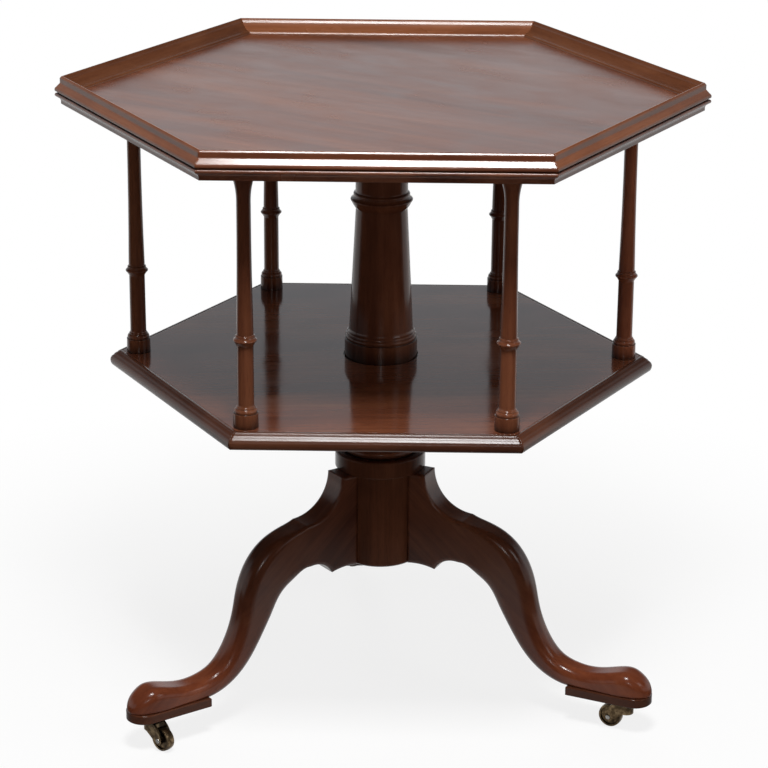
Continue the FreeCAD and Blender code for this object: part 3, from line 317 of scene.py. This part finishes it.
def aged_brass(name):
    """Old brass: bright where it is rubbed, brown where the patina has stayed."""
    finish, output = new_finish(name)
    tree = finish.node_tree
    place = add(tree, "TexCoord").outputs["Object"]
    clouds = add(tree, "TexNoise", {"Vector": place, **BRASS_CLOUDS}).outputs["Fac"]
    scratches = stretched_noise(tree, place, **BRASS_SCRATCHES)
    hollow = add(tree, "AmbientOcclusion", {"Distance": BRASS_HOLLOW}, samples=6).outputs["AO"]
    worn = number(tree, "MULTIPLY", clouds, CLOUDS_WEAR)
    worn = number(tree, "MULTIPLY_ADD", hollow, HOLLOW_WEAR, worn)
    colour = ramp(tree, worn, BRASS_PATINA)
    rough = between(tree, worn, *BRASS_WEAR_RANGE, *BRASS_ROUGHNESS)
    relief = number(tree, "ADD", clouds, number(tree, "MULTIPLY", scratches, SCRATCH_RELIEF))
    metal_surface(tree, output, colour, rough, relief, strength=0.15, depth=0.0003)
    return finish


def dull_steel(name):
    """Dull steel, clouded with tarnish."""
    finish, output = new_finish(name)
    tree = finish.node_tree
    place = add(tree, "TexCoord").outputs["Object"]
    clouds = add(tree, "TexNoise", {"Vector": place, **STEEL_CLOUDS}).outputs["Fac"]
    colour = ramp(tree, clouds, STEEL_TARNISH)
    rough = between(tree, clouds, *STEEL_CLOUD_RANGE, *STEEL_ROUGHNESS)
    metal_surface(tree, output, colour, rough, clouds, strength=0.1, depth=0.0002)
    return finish


def dress(node, finish):
    """Give a CAD node its finish."""
    slots = nodes[node].data.materials
    slots.clear()
    slots.append(finish)


def dress_pillar_and_boards():
    """Finish the two boards, the bearing block, the pillar and the hub."""
    top_wood = mahogany("top_board_mahogany", TOP_GRAIN, WARM, gloss=0.45, polish=(0.2, 0.28), relief=0.03)
    shelf_wood = mahogany("shelf_mahogany", SHELF_GRAIN, WARM, gloss=0.45, polish=(0.08, 0.14), relief=0.03)
    dress("top_board", top_wood)
    dress("shelf_board", shelf_wood)
    dress("bearing_block", mahogany("block_mahogany", LEVEL, DEEP, gloss=0.2))
    # Grime and painted shade gather round the pillar's rings
    column_wood = mahogany(
        "column_mahogany", UPRIGHT, shaded(DEEP, 1.4), gloss=0.2, grime_and_shade_reach=0.025, **RING_GRIME_AND_SHADE
    )
    dress("column", column_wood)
    dress("hub_block", mahogany("hub_mahogany", UPRIGHT, shaded(DEEP, 0.8), gloss=0.12))


def dress_side(side):
    """Finish the rail, the lipping and the spindle of one side of the carousel."""
    turn = (0, 0, FIRST_SIDE_GRAIN + SIDE_ANGLE * side)
    # The rail's shade is partly the wood's own tone and partly painted light and shade
    rail_wood = mahogany(
        f"rail_mahogany_{side + 1}",
        turn,
        shaded(RAIL_TONES[side], RAIL_TONE_AND_LIGHT_SHADES[side]),
        gloss=RAIL_GLOSS[side],
        polish=RAIL_POLISH[side],
        soften=0.0015,
    )
    lipping_wood = mahogany(
        f"lipping_mahogany_{side + 1}",
        turn,
        shaded(DEEP, 0.8),
        gloss=0.27,
        polish=(0.2, 0.26),
        relief=0.01,
        soften=0.003,
    )
    # The spindle's shade is partly its own tone and partly painted light and shade; grime and painted shade
    # gather round its rings
    spindle_wood = mahogany(
        f"spindle_mahogany_{side + 1}",
        UPRIGHT,
        shaded(WARM, SPINDLE_TONE_AND_LIGHT_SHADES[side]),
        gloss=0.25,
        grime_and_shade_reach=0.015,
        **RING_GRIME_AND_SHADE,
    )
    dress(f"gallery_rail_{side + 1}", rail_wood)
    dress(f"shelf_lipping_{side + 1}", lipping_wood)
    dress(f"spindle_{side + 1}", spindle_wood)


def dress_leg(leg, angle, brass, steel):
    """Finish one leg with its foot pad, castor and screws."""
    # Grime and painted shade near the pad; the foot is lightened partly by scuffing and partly as painted
    # light
    leg_wood = mahogany(
        f"leg_mahogany_{leg}",
        (0, LEG_GRAIN_DIP, angle),
        shaded(WARM, 0.75),
        gloss=0.25,
        polish=(0.16, 0.2),
        soften=0.004,
        grime_and_shade_reach=0.01,
        foot_scuff_and_light=FOOT_SCUFF_AND_LIGHT,
    )
    dress(f"leg_{leg}", leg_wood)
    pad_wood = mahogany(f"pad_mahogany_{leg}", (0, 0, angle), shaded(DEEP, 0.8), gloss=0.15)
    dress(f"foot_pad_{leg}", pad_wood)
    for piece in BRASS_CASTOR_PIECES:
        dress(f"castor_{piece}_{leg}", brass)
    for piece in STEEL_LEG_PIECES:
        dress(f"{piece}_{leg}", steel)


def dress_table():
    """Give every piece of the table its finish."""
    dress_pillar_and_boards()
    for side in SIDES:
        dress_side(side)
    brass = aged_brass("aged_brass")
    steel = dull_steel("dull_steel")
    for leg, angle in LEG_ANGLES.items():
        dress_leg(leg, angle, brass, steel)
    dress("pivot_bush", brass)
    for piece in STEEL_PIVOT_PIECES:
        dress(piece, steel)


def looked_at(tree):
    """1 for rays from the camera, a mirror or glass, and 0 for rays that carry matt light."""
    path = add(tree, "LightPath").outputs
    gloss = number(tree, "ADD", path["Is Glossy Ray"], path["Is Transmission Ray"], clamp=True)
    return number(tree, "ADD", path["Is Camera Ray"], gloss, clamp=True)


def studio_world():
    """Soft fill for matt light; what gloss and the camera see is a white backdrop under a dark ceiling."""
    world = bpy.data.worlds.new("studio")
    bpy.context.scene.world = world
    world.use_nodes = True
    tree = world.node_tree
    tree.nodes.clear()
    output = add(tree, "OutputWorld")
    direction = add(tree, "TexCoord").outputs["Generated"]
    height = add(tree, "SeparateXYZ", {"Vector": direction}).outputs["Z"]
    seen = add(tree, "Background", {"Color": ramp(tree, height, BACKDROP), "Strength": 1.0})
    fill = add(tree, "Background", {"Color": FILL_COLOUR, "Strength": FILL_STRENGTH})
    mixed = add(tree, "MixShader", {0: looked_at(tree), 1: fill.outputs[0], 2: seen.outputs[0]})
    show(tree, mixed, output)


def sheet(name, corners, finish):
    """A flat four-cornered sheet with a finish."""
    mesh = bpy.data.meshes.new(name)
    mesh.from_pydata(corners, [], [(0, 1, 2, 3)])
    mesh.materials.append(finish)
    item = bpy.data.objects.new(name, mesh)
    bpy.context.scene.collection.objects.link(item)
    return item


def distance_from_middle(tree, place):
    """How far a place is from the middle of the floor."""
    return add(tree, "VectorMath", {0: place}, operation="LENGTH").outputs["Value"]


def studio_floor():
    """A pale floor that takes the table's shadow and whitens with distance from the table."""
    finish, output = new_finish("floor_paper")
    tree = finish.node_tree
    place = add(tree, "TexCoord").outputs["Object"]
    away = distance_from_middle(tree, place)
    whiten = between(tree, away, *FLOOR_WHITENS, FLOOR_NEAR_WHITE, 1.0)
    seen = looked_at(tree)
    paper = add(tree, "BsdfDiffuse", {"Color": blend(tree, seen, grey(PAPER_MATT), grey(PAPER_SEEN))})
    glow = add(tree, "Emission", {"Color": (1, 1, 1, 1), "Strength": 1.0})
    lit = number(tree, "MULTIPLY", whiten, seen)
    mixed = add(tree, "MixShader", {0: lit, 1: paper.outputs[0], 2: glow.outputs[0]})
    show(tree, mixed, output)
    reach = FLOOR_REACH
    corners = [(-reach, -reach, 0), (reach, -reach, 0), (reach, reach, 0), (-reach, reach, 0)]
    floor = sheet("floor", corners, finish)


def dark_card(name, corners):
    """A dark card that only gloss sees, on the camera's side. It fades out under the table and behind it."""
    finish, output = new_finish(name)
    tree = finish.node_tree
    place = add(tree, "TexCoord").outputs["Object"]
    ahead = add(tree, "SeparateXYZ", {"Vector": place}).outputs["Y"]
    away = distance_from_middle(tree, place)
    cloth = add(tree, "BsdfDiffuse", {"Color": (*grey(CARD_GREY), 1)})
    clear = add(tree, "BsdfTransparent")
    in_front = between(tree, ahead, *CARD_FADES_BACK, 0.0, 1.0)
    outside = between(tree, away, *CARD_FADES_IN, 0.0, 1.0)
    shade = number(tree, "MULTIPLY", in_front, outside)
    mixed = add(tree, "MixShader", {0: shade, 1: clear.outputs[0], 2: cloth.outputs[0]})
    show(tree, mixed, output)
    card = sheet(name, corners, finish)
    card.visible_camera = False
    card.visible_diffuse = False
    card.visible_shadow = False


def dark_cards():
    """One card just over the floor and one that stands behind the camera."""
    front = CARD_FRONT
    reach, back, low = LOW_CARD_REACH, LOW_CARD_BACK, LOW_CARD_HEIGHT
    corners = [(-reach, front, low), (reach, front, low), (reach, back, low), (-reach, back, low)]
    dark_card("low_card", corners)
    reach, tall = TALL_CARD_REACH, TALL_CARD_HEIGHT
    corners = [(-reach, front, 0), (reach, front, 0), (reach, front, tall), (-reach, front, tall)]
    dark_card("tall_card", corners)


def softbox(name, elevation, azimuth, distance, size, power, glints_on=None, mirrored=True):
    """A rectangular lamp aimed at the middle of the table.

    glints_on keeps it to the gloss of some pieces, and a lamp that isn't mirrored gives matt light alone.
    """
    lamp = bpy.data.lights.new(name, "AREA")
    lamp.shape = "RECTANGLE"
    lamp.size, lamp.size_y = size
    lamp.energy = power
    holder = bpy.data.objects.new(name, lamp)
    bpy.context.scene.collection.objects.link(holder)
    lift = math.radians(elevation)
    swing = math.radians(azimuth)
    back = Matrix.Rotation(swing, 3, "Z") @ Matrix.Rotation(math.pi / 2 - lift, 3, "X")
    holder.matrix_world = back.to_4x4()
    holder.location = back @ Vector((0, 0, distance)) + LAMP_AIM
    holder.visible_glossy = mirrored
    if glints_on:
        pieces = bpy.data.collections.new(name + "_pieces")
        for piece in glints_on:
            pieces.objects.link(nodes[piece])
        holder.light_linking.receiver_collection = pieces
        holder.visible_diffuse = False


def studio_lamps():
    """The key lamp overhead, soft and small lamps by the camera, and one at the side and the rear."""
    softbox("key_softbox", elevation=62, azimuth=0, distance=2.6, size=(0.62, 0.58), power=62)
    softbox("front_softbox", elevation=20, azimuth=1, distance=3.4, size=(1.2, 1.2), power=5)
    softbox("small_front_lamp", elevation=17, azimuth=1, distance=3.4, size=(0.14, 0.14), power=1.6)
    turned_pieces = ["column"] + [f"spindle_{side + 1}" for side in SIDES]
    legs = [f"leg_{leg}" for leg in LEG_ANGLES]
    softbox(
        "glint_lamp",
        elevation=17,
        azimuth=1,
        distance=3.4,
        size=(0.2, 0.2),
        power=3.5,
        glints_on=turned_pieces + legs,
    )
    softbox("side_softbox", elevation=28, azimuth=60, distance=3.2, size=(1.0, 1.0), power=9)
    softbox(
        "rear_softbox",
        elevation=30,
        azimuth=190,
        distance=3.4,
        size=(1.5, 1.5),
        power=14,
        mirrored=False,
    )


def photo_camera():
    """The camera where the photograph was taken from."""
    lens = bpy.data.cameras.new("photo_camera")
    lens.lens = CAMERA_LENS
    lens.sensor_width = CAMERA_SENSOR
    camera = bpy.data.objects.new("photo_camera", lens)
    bpy.context.scene.collection.objects.link(camera)
    turn = Matrix.Rotation(math.radians(CAMERA_TURN), 3, "Z")
    tilt = Matrix.Rotation(math.radians(90 - CAMERA_DIP), 3, "X")
    roll = Matrix.Rotation(math.radians(CAMERA_ROLL), 3, "Z")
    camera.matrix_world = (turn @ tilt @ roll).to_4x4()
    camera.location = CAMERA_PLACE
    bpy.context.scene.camera = camera


dress_table()
studio_world()
studio_floor()
dark_cards()
studio_lamps()
photo_camera()
bpy.context.scene.view_settings.view_transform = "Standard"
